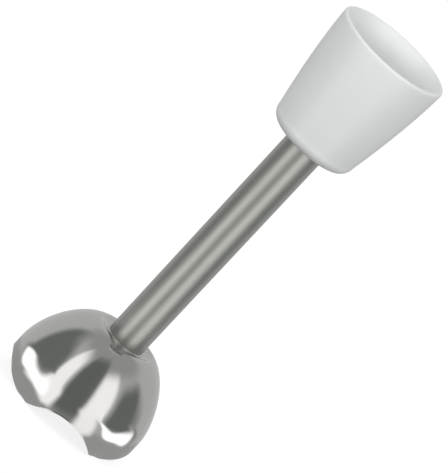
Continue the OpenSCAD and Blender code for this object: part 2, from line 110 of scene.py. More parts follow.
def mesh_piece(name, points, faces, material):
    mesh = bpy.data.meshes.new(name)
    mesh.from_pydata([Vector(p) for p in points], [], faces)
    mesh.validate()
    mesh.shade_smooth()
    piece = bpy.data.objects.new(name, mesh)
    bpy.context.scene.collection.objects.link(piece)
    mesh.materials.append(material)
    return piece


paper, tree = new_material("white paper")
path = add(tree, "ShaderNodeLightPath")
seen = add(tree, "ShaderNodeMath", {0: path.outputs["Is Camera Ray"],
                                    1: path.outputs["Is Glossy Ray"]}, operation="MAXIMUM")
seen = add(tree, "ShaderNodeMath", {0: seen.outputs[0],
                                    1: path.outputs["Is Transmission Ray"]}, operation="MAXIMUM")
glow = add(tree, "ShaderNodeMath", {0: seen.outputs[0], 1: PAPER_GLOW}, operation="MULTIPLY")
matt = add(tree, "ShaderNodeBsdfDiffuse", {"Color": linear(PAPER_GREY)})
lift = add(tree, "ShaderNodeEmission", {"Strength": glow.outputs[0]})
lit = add(tree, "ShaderNodeAddShader", {0: matt.outputs[0], 1: lift.outputs[0]})
below = add(tree, "ShaderNodeNewGeometry")
clear = add(tree, "ShaderNodeBsdfTransparent")
mixed = add(tree, "ShaderNodeMixShader", {0: below.outputs["Backfacing"], 1: lit.outputs[0],
                                          2: clear.outputs[0]})
finish_material(tree, mixed.outputs[0])
floor = mesh_piece("floor", [(-FLOOR_HALF, -FLOOR_HALF, 0), (FLOOR_HALF, -FLOOR_HALF, 0),
                             (FLOOR_HALF, FLOOR_HALF, 0), (-FLOOR_HALF, FLOOR_HALF, 0)],
                   [(0, 1, 2, 3)], paper)

# Light
# A pale room and four large soft lamps. The room is white where the camera, metal
# and glass see it, and a little dimmer where it only lights the object.
ROOM_LIGHT = 0.47
world = bpy.data.worlds.new("pale room")
bpy.context.scene.world = world
world.use_nodes = True
tree = world.node_tree
tree.nodes.clear()
path = add(tree, "ShaderNodeLightPath")
seen = add(tree, "ShaderNodeMath", {0: path.outputs["Is Camera Ray"],
                                    1: path.outputs["Is Glossy Ray"]}, operation="MAXIMUM")
seen = add(tree, "ShaderNodeMath", {0: seen.outputs[0],
                                    1: path.outputs["Is Transmission Ray"]}, operation="MAXIMUM")
level = add(tree, "ShaderNodeMapRange", {"Value": seen.outputs[0], "To Min": ROOM_LIGHT})
room = add(tree, "ShaderNodeBackground", {"Strength": level.outputs[0]})
add(tree, "ShaderNodeOutputWorld", {"Surface": room.outputs[0]})


def around(azimuth, elevation, distance):
    a = CAMERA_AZIMUTH + radians(azimuth)
    e = radians(elevation)
    return Vector((sin(a) * cos(e), -cos(a) * cos(e), sin(e))) * distance


for name, azimuth, elevation, distance, size, power in (
        ("left lamp", -50, 29, 1.6, 1.2, 11.0),
        ("right lamp", 52, 29, 1.6, 1.2, 11.5),
        ("front lamp", 0, 16, 1.6, 1.2, 6.8),
        ("back lamp", 180, 50, 1.6, 1.2, 5.0)):
    lamp = bpy.data.objects.new(name, bpy.data.lights.new(name, "AREA"))
    lamp.data.shape = "DISK"
    lamp.data.size = size
    lamp.data.energy = power
    lamp.location = around(azimuth, elevation, distance) + aim
    lamp.rotation_euler = (lamp.location - aim).to_track_quat("Z", "Y").to_euler()
    lamp.visible_glossy = False
    bpy.context.scene.collection.objects.link(lamp)

# Light tent, painted into reflections
# What the metal mirrors, painted as glow on cards that only reflections see: a grey
# tent with a tall soft strip on either side of the camera and dark gaps between, and
# a pale table top with their long images, pools of light and the bell's shade on it.
TENT_RADIUS = 1.3
TABLE_START = 34 * MM
TABLE_INNER = 18 * MM
TABLE_DROP = 15 * MM
TABLE_LIFT = 0.3 * MM
TENT_GREY = 0.6
# Each panel: name; azimuth from the camera and half width; height, its slope and bend
# along the azimuth and half height, in degrees; soft share of the half sizes, power
# of the outline (2 an oval, 8 nearly square); brightness and tint. Heights below 0
# are on the table top, nearer to the bell the lower they are.
NEUTRAL, COOL, WARM = (1, 1, 1), (0.96, 1.04, 0.98), (1.01, 0.995, 0.985)
TENT_PANELS = (
    # Painted shadow: the bell's own shade on the table top near its feet
    ("painted bell shadow on the table", 0, 4000, -62, 0, 0, 34, 0.2, 8, 0.44, NEUTRAL),
    # Painted shade: the dim roof, the dark sides and the dark gap round the camera
    ("roof", 0, 4000, 72, 0, 0, 18, 0.6, 8, 0.41, NEUTRAL),
    ("left side", -79, 31, 11, -0.45, 0, 35, 0.3, 4, 0.2, COOL),
    ("right side", 83, 26, 10, 0, 0, 34, 0.3, 4, 0.19, COOL),
    ("gap round the camera", 3, 18, 18, 0.2, 0, 48, 0.2, 8, 0.17, COOL),
    # Painted reflections: the two bright strips and their images on the table top
    ("foot of the left strip", -30, 15, -28, 0, 0, 26, 0.35, 3, 1.45, WARM),
    ("foot of the right strip", 32, 13, -16, 0, 0, 20, 0.4, 4, 1.35, WARM),
    ("left strip", -35, 14, -2, -0.4, 0, 55, 0.25, 6, 1.4, WARM),
    ("right strip", 36, 14, 24, 0.2, 0, 28, 0.3, 6, 1.4, WARM),
    # Painted light: bright pools on the table top that the lobes mirror as crescents
    ("left low light", -68, 26, -25, -0.55, -0.004, 11, 0.3, 1.5, 1.9, NEUTRAL),
    ("end of the left low light", -43, 12, -38, 0, 0, 16, 0.5, 2, 1.9, NEUTRAL),
    ("right low light", 75, 26, -31, -0.3, 0.04, 10, 0.3, 2, 1.9, NEUTRAL),
)
# The cloth glows only where the metal mirrors it: painted reflection, painted light and painted shade
painted_reflection_cloth, tree = new_material("painted reflection cloth")
bearing = add(tree, "ShaderNodeAttribute", attribute_name="bearing")
parts = add(tree, "ShaderNodeSeparateXYZ", {"Vector": bearing.outputs["Vector"]})
glow = [TENT_GREY] * 3 + [1]
for _, azimuth, wide, height, slope, bend, tall, soft, power, level, tint in TENT_PANELS:
    offset = add(tree, "ShaderNodeMath", {0: parts.outputs["X"], 1: azimuth},
                 operation="SUBTRACT")
    bent = add(tree, "ShaderNodeMath", {0: offset.outputs[0], 1: bend, 2: slope},
               operation="MULTIPLY_ADD")
    line = add(tree, "ShaderNodeMath", {0: offset.outputs[0], 1: bent.outputs[0], 2: height},
               operation="MULTIPLY_ADD")
    above = add(tree, "ShaderNodeMath", {0: parts.outputs["Y"], 1: line.outputs[0]},
                operation="SUBTRACT")
    reach = []
    for distance, half in ((offset, wide), (above, tall)):
        part = add(tree, "ShaderNodeMath", {0: distance.outputs[0], 1: half},
                   operation="DIVIDE")
        size = add(tree, "ShaderNodeMath", {0: part.outputs[0]}, operation="ABSOLUTE")
        reach.append(add(tree, "ShaderNodeMath", {0: size.outputs[0], 1: power},
                         operation="POWER"))
    total = add(tree, "ShaderNodeMath", {0: reach[0].outputs[0], 1: reach[1].outputs[0]},
                operation="ADD")
    outward = add(tree, "ShaderNodeMath", {0: total.outputs[0], 1: 1 / power},
                  operation="POWER")
    share = add(tree, "ShaderNodeMapRange", {
        "Value": outward.outputs[0], "From Min": 1 + soft, "From Max": 1 - soft},
        interpolation_type="SMOOTHSTEP")
    mixed = add(tree, "ShaderNodeMix", {"Factor": share.outputs[0], 6: glow,
                                        7: [level * t for t in tint] + [1]},
                data_type="RGBA")
    glow = mixed.outputs[2]
finish_material(tree, add(tree, "ShaderNodeEmission", {"Color": glow}).outputs[0])


def on_wall(azimuth, height):
    return around(azimuth, height, TENT_RADIUS)


def on_table(azimuth, depression):
    reach = TABLE_INNER
    if depression > -90:
        reach = TABLE_START + TABLE_DROP / tan(radians(-depression))
    return around(azimuth, 0, min(reach, TENT_RADIUS)) + Vector((0, 0, TABLE_LIFT))


for name, place, heights in (
        ("tent wall", on_wall, list(range(-2, 90, 3)) + [89.9]),
        ("table top", on_table, [-90, -89, -75, -62, -52, -44, -37, -31, -26, -22, -18, -15, -12, -10,
                                 -8, -6.5, -5, -4, -3, -2.3, -1.7, -1.2, -0.8, -0.5])):
    azimuths = range(-180, 181, 3)
    wide = len(azimuths)
    bearings = [(azimuth, height) for height in heights for azimuth in azimuths]
    faces = [(r * wide + c, r * wide + c + 1, (r + 1) * wide + c + 1, (r + 1) * wide + c)
             for r in range(len(heights) - 1) for c in range(wide - 1)]
    card = mesh_piece(name, [place(*bearing) for bearing in bearings], faces, painted_reflection_cloth)
    store = card.data.attributes.new("bearing", "FLOAT_VECTOR", "POINT")
    for item, (azimuth, height) in zip(store.data, bearings):
        item.vector = (azimuth, height, 0)
    card.visible_camera = False
    card.visible_diffuse = False
    card.visible_shadow = False


# Bell
# Blade guard deep-drawn from stainless sheet and polished to a mirror. The dome
# is round, its four lobes turn in to the feet and leave four open arches.
BELL = {
    "Hole Radius": 8.0, "Seat Radius": 9.6, "Seat Height": 40.8,
    "Crown Radius": 14.0, "Crown Height": 42.6,
    "Lobe Radius": 31.8, "Lobe Height": 18.5, "Foot Radius": 26.6,
    "Hollow Radius": 32.9, "Hollow Height": 14.3, "Arch Height": 8.8,
    "Dome Power": 2 / 1.56, "Foot Power": 2 / 2.3,
    "Lobe Power R": 3.1, "Lobe Power Z": 1.25, "Foot Length": 1.05,
    "Seat Share": 0.04, "Crown Share": 0.18, "Dome Share": 0.68,
    "Smoothing": 16.0, "Kept Edge": 0.012,
}
BELL_WALL = 0.9 * MM
BELL_MIDDLE_Z = 15 * MM
BELL_STATIONS = 110
BELL_COLUMNS = 320
POLISHED_STEEL = "CBCBC9"


def polished_steel(name, roughness):
    material, tree = new_material(name)
    place = add(tree, "ShaderNodeTexCoord")
    # Buffing leaves hair lines round the axis, 0.15 mm apart, too fine to see singly
    lines = add(tree, "ShaderNodeMapping", {"Vector": place.outputs["Object"],
                                            "Scale": (60, 60, 900)})
    hair = add(tree, "ShaderNodeTexNoise", {"Vector": lines.outputs[0], "Scale": 4.0,
                                            "Detail": 3.0})
    haze = add(tree, "ShaderNodeMapRange", {"Value": hair.outputs["Fac"], "From Min": 0.3,
                                            "From Max": 0.7, "To Min": roughness - 0.02,
                                            "To Max": roughness + 0.03})
    bump = add(tree, "ShaderNodeBump", {"Height": hair.outputs["Fac"], "Strength": 0.04,
                                        "Distance": 0.02 * MM})
    steel = add(tree, "ShaderNodeBsdfPrincipled", {
        "Base Color": linear(POLISHED_STEEL), "Metallic": 1.0,
        "Roughness": haze.outputs[0], "Normal": bump.outputs[0]})
    finish_material(tree, steel.outputs[0])
    return material


mirror_steel = polished_steel("mirror polished stainless steel", 0.1)
drawn_steel = polished_steel("drawn stainless steel, lightly polished", 0.3)

# Each step names its result, the operation, and the values or earlier results it takes
BELL_STEPS = (
    ("turn", "MULTIPLY", "across", 2 * pi),
    ("four turns", "MULTIPLY", "turn", 4.0),
    ("wave", "COSINE", "four turns"),
    ("fall", "SUBTRACT", 1.0, "wave"),
    ("lobe", "MULTIPLY", "fall", 0.5),
    ("share r", "POWER", "lobe", "Lobe Power R"),
    ("lobe z", "POWER", "lobe", "Lobe Power Z"),
    ("long foot", "MULTIPLY", "lobe z", "Foot Length"),
    ("share z", "MINIMUM", "long foot", 1.0),
    ("seat part", "DIVIDE", "station", "Seat Share"),
    ("seat", "MINIMUM", "seat part", 1.0),
    ("past seat", "SUBTRACT", "station", "Seat Share"),
    ("crown width", "SUBTRACT", "Crown Share", "Seat Share"),
    ("crown part", "DIVIDE", "past seat", "crown width"),
    ("past crown", "SUBTRACT", "station", "Crown Share"),
    ("dome width", "SUBTRACT", "Dome Share", "Crown Share"),
    ("dome part", "DIVIDE", "past crown", "dome width"),
    ("past dome", "SUBTRACT", "station", "Dome Share"),
    ("low width", "SUBTRACT", 1.0, "Dome Share"),
    ("low part", "DIVIDE", "past dome", "low width"),
    ("crown floor", "MAXIMUM", "crown part", 0.0),
    ("crown", "MINIMUM", "crown floor", 1.0),
    ("dome floor", "MAXIMUM", "dome part", 0.0),
    ("dome", "MINIMUM", "dome floor", 1.0),
    ("low", "MAXIMUM", "low part", 0.0),
    ("crown turn", "MULTIPLY", "crown", pi),
    ("crown wave", "COSINE", "crown turn"),
    ("crown fall", "SUBTRACT", 1.0, "crown wave"),
    ("crown ease", "MULTIPLY", "crown fall", 0.5),
    ("seat reach", "SUBTRACT", "Seat Radius", "Hole Radius"),
    ("seat r", "MULTIPLY_ADD", "seat", "seat reach", "Hole Radius"),
    ("crown reach", "SUBTRACT", "Crown Radius", "Seat Radius"),
    ("start r", "MULTIPLY_ADD", "crown", "crown reach", "seat r"),
    ("crown rise", "SUBTRACT", "Crown Height", "Seat Height"),
    ("start z", "MULTIPLY_ADD", "crown ease", "crown rise", "Seat Height"),
    ("dome angle", "MULTIPLY", "dome", pi / 2),
    ("dome sine", "SINE", "dome angle"),
    ("dome cosine", "COSINE", "dome angle"),
    ("dome level", "MAXIMUM", "dome cosine", 0.0),
    ("dome out", "POWER", "dome sine", "Dome Power"),
    ("dome up", "POWER", "dome level", "Dome Power"),
    ("dome down", "SUBTRACT", 1.0, "dome up"),
    ("low angle", "MULTIPLY", "low", pi / 2),
    ("low sine", "SINE", "low angle"),
    ("low cosine", "COSINE", "low angle"),
    ("low level", "MAXIMUM", "low cosine", 0.0),
    ("low down", "POWER", "low sine", "Foot Power"),
    ("low out", "POWER", "low level", "Foot Power"),
    ("low in", "SUBTRACT", 1.0, "low out"),
    ("lobe reach", "SUBTRACT", "Lobe Radius", "Crown Radius"),
    ("lobe out", "MULTIPLY", "lobe reach", "dome out"),
    ("lobe turn-in", "SUBTRACT", "Foot Radius", "Lobe Radius"),
    ("lobe r", "MULTIPLY_ADD", "lobe turn-in", "low in", "lobe out"),
    ("lobe fall", "SUBTRACT", "Lobe Height", "Crown Height"),
    ("lobe drop", "MULTIPLY", "lobe fall", "dome down"),
    ("foot fall", "MULTIPLY", "Lobe Height", "low down"),
    ("lobe height", "SUBTRACT", "lobe drop", "foot fall"),
    ("hollow reach", "SUBTRACT", "Hollow Radius", "Crown Radius"),
    ("hollow r", "MULTIPLY", "hollow reach", "dome out"),
    ("hollow fall", "SUBTRACT", "Hollow Height", "Crown Height"),
    ("hollow drop", "MULTIPLY", "hollow fall", "dome down"),
    ("arch fall", "SUBTRACT", "Arch Height", "Hollow Height"),
    ("hollow height", "MULTIPLY_ADD", "arch fall", "low", "hollow drop"),
    ("r gap", "SUBTRACT", "lobe r", "hollow r"),
    ("r mixed", "MULTIPLY_ADD", "r gap", "share r", "hollow r"),
    ("z gap", "SUBTRACT", "lobe height", "hollow height"),
    ("z mixed", "MULTIPLY_ADD", "z gap", "share z", "hollow height"),
    ("r mm", "ADD", "start r", "r mixed"),
    ("z mm", "ADD", "start z", "z mixed"),
    ("r", "MULTIPLY", "r mm", MM),
    ("z", "MULTIPLY", "z mm", MM),
    ("cosine", "COSINE", "turn"),
    ("sine", "SINE", "turn"),
    ("x", "MULTIPLY", "r", "cosine"),
    ("y", "MULTIPLY", "r", "sine"),
    ("other end", "SUBTRACT", 1.0, "station"),
    ("from edge", "MINIMUM", "station", "other end"),
    ("eased", "DIVIDE", "from edge", "Kept Edge"),
    ("off edge", "SUBTRACT", "eased", 1.0),
    ("free", "MAXIMUM", "off edge", 0.0),
    ("weight", "MINIMUM", "free", 1.0),
)


def new_rule(name, sizes, from_mesh=False):
    rule = bpy.data.node_groups.new(name, "GeometryNodeTree")
    rule.interface.new_socket("Geometry", in_out="OUTPUT", socket_type="NodeSocketGeometry")
    if from_mesh:
        rule.interface.new_socket("Mesh", in_out="INPUT", socket_type="NodeSocketGeometry")
    for size, value in sizes.items():
        socket = rule.interface.new_socket(size, in_out="INPUT", socket_type="NodeSocketFloat")
        socket.default_value = value
    return rule, add(rule, "NodeGroupInput")


def close_rule(rule, geometry, material):
    real = add(rule, "GeometryNodeRealizeInstances", {"Geometry": geometry})
    named = add(rule, "GeometryNodeSetMaterial", {"Geometry": real.outputs[0],
                                                  "Material": material})
    add(rule, "NodeGroupOutput", {"Geometry": named.outputs[0]})


def bake(piece, modifiers):
    for kind, settings in modifiers:
        step = piece.modifiers.new(kind.lower(), kind)
        for key, value in settings.items():
            setattr(step, key, value)
    ready = piece.evaluated_get(bpy.context.evaluated_depsgraph_get())
    mesh = bpy.data.meshes.new_from_object(ready)
    piece.modifiers.clear()
    piece.data = mesh
    mesh.shade_smooth()
    return piece


def made_by_rule(piece, rule, sizes, finishing=()):
    step = piece.modifiers.new("rule", "NODES")
    step.node_group = rule
    for item in rule.interface.items_tree:
        if item.in_out == "INPUT" and item.name in sizes:
            step[item.identifier] = sizes[item.name]
    return bake(piece, finishing)


rule, sizes = new_rule("four-lobed bell", BELL)
grid = add(rule, "GeometryNodeMeshGrid", {"Size X": 1.0, "Size Y": 1.0,
                                          "Vertices X": BELL_STATIONS + 1,
                                          "Vertices Y": BELL_COLUMNS + 1})
spot = add(rule, "GeometryNodeInputPosition")
parts = add(rule, "ShaderNodeSeparateXYZ", {"Vector": spot.outputs[0]})
results = {size: sizes.outputs[size] for size in BELL}
for name, axis in (("station", "X"), ("across", "Y")):
    moved = add(rule, "ShaderNodeMath", {0: parts.outputs[axis], 1: 0.5}, operation="ADD")
    results[name] = moved.outputs[0]
for name, operation, *terms in BELL_STEPS:
    values = {i: results.get(term, term) for i, term in enumerate(terms)}
    results[name] = add(rule, "ShaderNodeMath", values, operation=operation).outputs[0]
place = add(rule, "ShaderNodeCombineXYZ", {"X": results["x"], "Y": results["y"],
                                           "Z": results["z"]})
marked = add(rule, "GeometryNodeStoreNamedAttribute", {
    "Geometry": grid.outputs["Mesh"], "Name": "away from edges", "Value": results["weight"]})
formed = add(rule, "GeometryNodeSetPosition", {"Geometry": marked.outputs[0],
                                               "Position": place.outputs[0]})
seamed = add(rule, "GeometryNodeMergeByDistance", {"Geometry": formed.outputs[0],
                                                   "Distance": 0.001 * MM})
# Planishing takes the creases out of the drawn sheet but leaves its two edges
weight = add(rule, "GeometryNodeInputNamedAttribute", {"Name": "away from edges"})
even = add(rule, "GeometryNodeBlurAttribute", {
    "Value": spot.outputs[0], "Iterations": results["Smoothing"], "Weight": weight.outputs[0]},
    data_type="FLOAT_VECTOR")
planished = add(rule, "GeometryNodeSetPosition", {"Geometry": seamed.outputs[0],
                                                  "Position": even.outputs[0]})
close_rule(rule, planished.outputs[0], mirror_steel)
bell = made_by_rule(mesh_piece("bell_shell", [], [], mirror_steel), rule, BELL, [
    ("SOLIDIFY", {"thickness": BELL_WALL, "offset": -1.0, "use_even_offset": True}),
    ("BEVEL", {"width": 0.2 * MM, "segments": 3, "limit_method": "ANGLE",
               "angle_limit": radians(50)})])
# The inside is polished only lightly
bell.data.materials.append(drawn_steel)
middle = Vector((0, 0, BELL_MIDDLE_Z))
for face in bell.data.polygons:
    if face.normal.dot(face.center - middle) < 0:
        face.material_index = 1
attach(bell, "casing")
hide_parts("bell")

# Tube
# Seamless stainless tube, 0.8 mm thick, drawn with a slight taper and ground to a
# satin, so that it mirrors the room only softly.
TUBE_FOOT_R = 8.7
TUBE_HEAD_R = 9.1
TUBE_WALL = 0.8
TUBE_FOOT_Z = 40.8
TUBE_STRAIGHT_Z = 43.8
TUBE_RUN_OUT_Z = 153.5
TUBE_HEAD_Z = 161.0
SATIN_STEEL = "BCBCB8"
LATHE_SEGMENTS = 160


def lathe(name, profile, material, segments=LATHE_SEGMENTS):
    points = []
    rings = []
    for r, z in profile:
        if r < 0.001:
            rings.append([len(points)])
            points.append((0, 0, z * MM))
        else:
            rings.append(list(range(len(points), len(points) + segments)))
            points += [(r * MM * cos(2 * pi * i / segments), r * MM * sin(2 * pi * i / segments),
                        z * MM) for i in range(segments)]
    faces = []
    pairs = list(zip(rings, rings[1:]))
    if len(rings[0]) > 1 and len(rings[-1]) > 1:
        pairs.append((rings[-1], rings[0]))
    for low, high in pairs:
        for i in range(segments):
            j = (i + 1) % segments
            if len(low) == 1:
                faces.append((low[0], high[j], high[i]))
            elif len(high) == 1:
                faces.append((low[i], low[j], high[0]))
            else:
                faces.append((low[i], low[j], high[j], high[i]))
    return mesh_piece(name, points, faces, material)


def arc(centre, radius, start, end, steps):
    return [(centre[0] + radius * cos(radians(start + (end - start) * i / steps)),
             centre[1] + radius * sin(radians(start + (end - start) * i / steps)))
            for i in range(steps + 1)]


def sharpen(piece, angle=32):
    piece.data.set_sharp_from_angle(angle=radians(angle))
    return piece


def satin_steel(name, roughness):
    material, tree = new_material(name)
    place = add(tree, "ShaderNodeTexCoord")
    lines = add(tree, "ShaderNodeMapping", {"Vector": place.outputs["Object"],
                                            "Scale": (2500, 2500, 40)})
    grain = add(tree, "ShaderNodeTexNoise", {"Vector": lines.outputs[0], "Scale": 1.0,
                                             "Detail": 4.0})
    rough = add(tree, "ShaderNodeMapRange", {"Value": grain.outputs["Fac"], "From Min": 0.3,
                                             "From Max": 0.7, "To Min": roughness - 0.04,
                                             "To Max": roughness + 0.05})
    bump = add(tree, "ShaderNodeBump", {"Height": grain.outputs["Fac"], "Strength": 0.1,
                                        "Distance": 0.02 * MM})
    steel = add(tree, "ShaderNodeBsdfPrincipled", {
        "Base Color": linear(SATIN_STEEL), "Metallic": 1.0,
        "Roughness": rough.outputs[0], "Normal": bump.outputs[0]})
    finish_material(tree, steel.outputs[0])
    return material


ground_steel = satin_steel("satin ground stainless steel", 0.43)
tube = lathe("outer_tube_satin", [
    (TUBE_FOOT_R - TUBE_WALL, TUBE_FOOT_Z), (TUBE_FOOT_R, TUBE_FOOT_Z),
    (TUBE_FOOT_R, TUBE_STRAIGHT_Z), (TUBE_HEAD_R, TUBE_RUN_OUT_Z), (TUBE_HEAD_R, TUBE_HEAD_Z),
    (TUBE_HEAD_R - TUBE_WALL, TUBE_HEAD_Z), (TUBE_HEAD_R - TUBE_WALL, TUBE_RUN_OUT_Z),
    (TUBE_FOOT_R - TUBE_WALL, TUBE_STRAIGHT_Z)], ground_steel)
sharpen(tube)
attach(tube, "casing")
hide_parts("outer_tube")

# Weld bead
# The narrow bead of the weld that joins the tube's foot to the bell's seat, polished
# together with the bell.
BEAD_R = 0.8

bead = lathe("weld_bead_round", [(TUBE_FOOT_R, TUBE_FOOT_Z)]
             + arc((TUBE_FOOT_R, TUBE_FOOT_Z), BEAD_R, 0, 90, 12), mirror_steel)
sharpen(bead, 60)
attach(bead, "casing")
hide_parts("weld_bead")

# Collar
# Coupling cup moulded in one piece in light grey-white ABS, with a fine satin from
# the spark-eroded mould. Three bayonet lugs stand in its bore under the socket.
TOTAL_H = 209.5
COLLAR_Z = 155.5
COLLAR_FLOOR_Z = 160.0
COLLAR_ROUND = 5.5
BARREL_Z = COLLAR_Z + COLLAR_ROUND
COLLAR_BASE_R = 20.3
COLLAR_RIM_R = 26.4
BARREL_POWER = 1.5
RIM_ROUND = 1.0
MOUTH_R = 24.4
SOCKET_R = 22.6
LEAD_IN_Z = TOTAL_H - 6.5
SOCKET_FLOOR_Z = TOTAL_H - 17.5
LUG_GROOVE_R = SOCKET_R - 0.6
LEDGE_Z = SOCKET_FLOOR_Z - 6
LEDGE_R = LUG_GROOVE_R - 1.6
CUP_R = COLLAR_BASE_R - 2.3
CUP_ROUND = 2.0
TUBE_BORE_R = TUBE_HEAD_R + 0.02
LUGS = {"Count": 3.0, "Pitch Radius": 0.0, "First Angle": 0.0}
LUG_Z = LEDGE_Z + 2.5
LUG_H = 3.0
LUG_ANGLE = 26.0
LUG_ROOT = 0.4
COLLAR_WHITE = "DEE0E0"


def moulded_plastic(name, colour, roughness, grain_mm):
    material, tree = new_material(name)
    place = add(tree, "ShaderNodeTexCoord")
    spark = add(tree, "ShaderNodeTexNoise", {"Vector": place.outputs["Object"],
                                             "Scale": 1 / (grain_mm * MM), "Detail": 2.0})
    bump = add(tree, "ShaderNodeBump", {"Height": spark.outputs["Fac"], "Strength": 0.12,
                                        "Distance": 0.05 * MM})
    cloud = add(tree, "ShaderNodeTexNoise", {"Vector": place.outputs["Object"],
                                             "Scale": 45.0, "Detail": 3.0})
    rough = add(tree, "ShaderNodeMapRange", {"Value": cloud.outputs["Fac"],
                                             "To Min": roughness - 0.05,
                                             "To Max": roughness + 0.05})
    tone = add(tree, "ShaderNodeMix", {"Factor": cloud.outputs["Fac"],
                                       6: [c * 0.97 for c in linear(colour)[:3]] + [1],
                                       7: [min(1, c * 1.03) for c in linear(colour)[:3]] + [1]},
               data_type="RGBA")
    plastic = add(tree, "ShaderNodeBsdfPrincipled", {
        "Base Color": tone.outputs[2], "Roughness": rough.outputs[0],
        "IOR": 1.52, "Normal": bump.outputs[0]})
    finish_material(tree, plastic.outputs[0])
    return material


def join(piece, other):
    whole = bmesh.new()
    whole.from_mesh(piece.data)
    whole.from_mesh(other.data)
    whole.to_mesh(piece.data)
    whole.free()
    bpy.data.objects.remove(other)


def barrel(z):
    return COLLAR_BASE_R + (COLLAR_RIM_R - COLLAR_BASE_R) * (
        1 - (1 - (z - BARREL_Z) / (TOTAL_H - BARREL_Z)) ** BARREL_POWER)


collar_white = moulded_plastic("satin moulded white ABS", COLLAR_WHITE, 0.42, 0.25)
rim_z = TOTAL_H - RIM_ROUND
outside = [(TUBE_BORE_R, COLLAR_Z)]
outside += arc((COLLAR_BASE_R - COLLAR_ROUND, BARREL_Z), COLLAR_ROUND, -90, 0, 20)
outside += [(barrel(BARREL_Z + (rim_z - BARREL_Z) * i / 40), BARREL_Z + (rim_z - BARREL_Z) * i / 40)
            for i in range(1, 41)]
outside += arc((barrel(rim_z) - RIM_ROUND, rim_z), RIM_ROUND, 15, 90, 8)
inside = [(MOUTH_R + 0.4, TOTAL_H), (MOUTH_R, TOTAL_H - 0.4), (SOCKET_R, LEAD_IN_Z),
          (SOCKET_R, SOCKET_FLOOR_Z), (LUG_GROOVE_R, SOCKET_FLOOR_Z), (LUG_GROOVE_R, LEDGE_Z),
          (LEDGE_R, LEDGE_Z)]
inside += arc((CUP_R - CUP_ROUND, COLLAR_FLOOR_Z + CUP_ROUND), CUP_ROUND, 0, -90, 8)
inside += [(TUBE_BORE_R, COLLAR_FLOOR_Z)]
collar = lathe("collar_moulding", outside + inside, collar_white, 192)
around_axis, sizes = new_rule("copies round the axis", LUGS, True)
index = add(around_axis, "GeometryNodeInputIndex")
share = add(around_axis, "ShaderNodeMath", {0: index.outputs[0], 1: sizes.outputs["Count"]},
            operation="DIVIDE")
angle = add(around_axis, "ShaderNodeMath", {0: share.outputs[0], 1: 2 * pi,
                                            2: sizes.outputs["First Angle"]},
            operation="MULTIPLY_ADD")
turned = add(around_axis, "ShaderNodeCombineXYZ", {"Z": angle.outputs[0]})
reach = add(around_axis, "ShaderNodeCombineXYZ", {"X": sizes.outputs["Pitch Radius"]})
spots = add(around_axis, "ShaderNodeVectorRotate", {"Vector": reach.outputs[0],
                                                    "Angle": angle.outputs[0]},
            rotation_type="Z_AXIS")
points = add(around_axis, "GeometryNodePoints", {"Count": sizes.outputs["Count"],
                                                 "Position": spots.outputs[0]})
copies = add(around_axis, "GeometryNodeInstanceOnPoints", {
    "Points": points.outputs[0], "Instance": sizes.outputs["Mesh"],
    "Rotation": turned.outputs[0]})
close_rule(around_axis, copies.outputs[0], collar_white)
lug_end = LUG_ANGLE / 2
lug_steps = [-lug_end + LUG_ANGLE * i / 8 for i in range(9)]
lug_profile = [(LEDGE_R, LUG_Z), (LUG_GROOVE_R + LUG_ROOT, LUG_Z),
               (LUG_GROOVE_R + LUG_ROOT, LUG_Z + LUG_H), (LEDGE_R, LUG_Z + LUG_H)]
lug_points = [(r * MM * cos(radians(a)), r * MM * sin(radians(a)), z * MM)
              for a in lug_steps for r, z in lug_profile]
lug_faces = [(4 * s + i, 4 * s + 4 + i, 4 * s + 4 + (i + 1) % 4, 4 * s + (i + 1) % 4)
             for s in range(8) for i in range(4)]
lug_faces += [(0, 1, 2, 3), (35, 34, 33, 32)]
lugs = made_by_rule(mesh_piece("lugs", lug_points, lug_faces, collar_white), around_axis, LUGS, [
    ("BEVEL", {"width": 0.3 * MM, "segments": 3, "limit_method": "ANGLE",
               "angle_limit": radians(50)})])
join(collar, lugs)
sharpen(collar)
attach(collar, "casing")
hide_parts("collar")

# Coupling tower
# Carrier of the upper bush, moulded in the collar's ABS and screwed down in the cup.
# Six ribs stiffen it, and the edges are rounded as the mould's are.
EDGE_ANGLE = 40


def finished(name, node, material, rounding):
    copy = bmesh.new()
    copy.from_mesh(nodes[node].data)
    bmesh.ops.remove_doubles(copy, verts=copy.verts, dist=0.001 * MM)
    bmesh.ops.dissolve_limit(copy, angle_limit=radians(0.5), verts=copy.verts,
                             edges=copy.edges)
    piece = mesh_piece(name, [], [], material)
    copy.to_mesh(piece.data)
    copy.free()
    bake(piece, [("BEVEL", {"width": rounding * MM, "segments": 3, "limit_method": "ANGLE",
                            "angle_limit": radians(EDGE_ANGLE), "harden_normals": True})])
    piece.data.materials.clear()
    piece.data.materials.append(material)
    return piece


tower = finished("coupling_tower_ribbed", "coupling_tower", collar_white, 0.2)
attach(tower, "casing")
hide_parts("coupling_tower")

# Tower screws
# Three pan-head screws of stainless steel with a cross recess, cold headed and
# tumbled bright, that clamp the tower and the tube's flange to the cup's floor.
SCREWS = {"Count": 3.0, "Pitch Radius": 13.15 * MM, "First Angle": radians(30)}
SCREW_R = 1.4
SCREW_LOW_Z = COLLAR_FLOOR_Z - 3.4
SCREW_SEAT_Z = COLLAR_FLOOR_Z + 4
SCREW_HEAD_R = 2.6
SCREW_HEAD_H = 1.8
SCREW_HEAD_ROUND = 0.8
CROSS_HALF_L = 1.6
CROSS_HALF_W = 0.3
CROSS_DEPTH = 1.0


